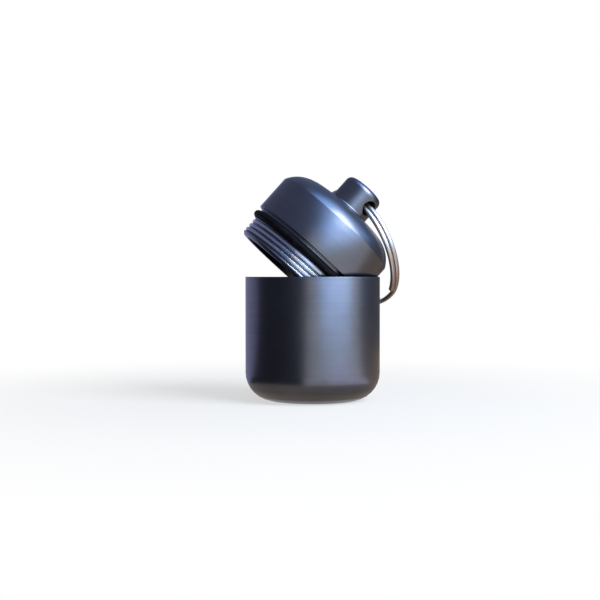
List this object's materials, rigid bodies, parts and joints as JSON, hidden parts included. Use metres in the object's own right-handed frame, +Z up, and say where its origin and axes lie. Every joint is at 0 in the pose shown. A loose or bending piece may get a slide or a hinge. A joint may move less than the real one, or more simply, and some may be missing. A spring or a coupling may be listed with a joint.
{
  "type": "earplug case",
  "caption": "Turned aluminium screw-top capsule that stands open, its lid leaning in the mouth and a split ring on the lid's knob.",
  "frame": {"origin": "centre of the case's flat foot", "axes": "+Z up along the case's axis, +X towards the side that the lid leans to, -Y the front"},
  "size_m": [0.0348, 0.0372, 0.0497],
  "materials": {
    "anodised_aluminium": "satin gunmetal anodised",
    "black_rubber": "matt",
    "bright_steel": "bright plated"
  },
  "bodies": {
    "capsule": {"case_body": "anodised_aluminium", "lid": "anodised_aluminium", "seal_ring": "black_rubber"},
    "key_ring": {"split_ring": "bright_steel"}
  },
  "joints": [
    {"name": "ring_swing", "type": "hinge", "parent": "capsule", "child": "key_ring", "pos_m": [0.00976, 0.00087, 0.04469], "axis": [0.5871, -0.6575, -0.4722], "range_deg": [0, 242.6]}
  ]
}
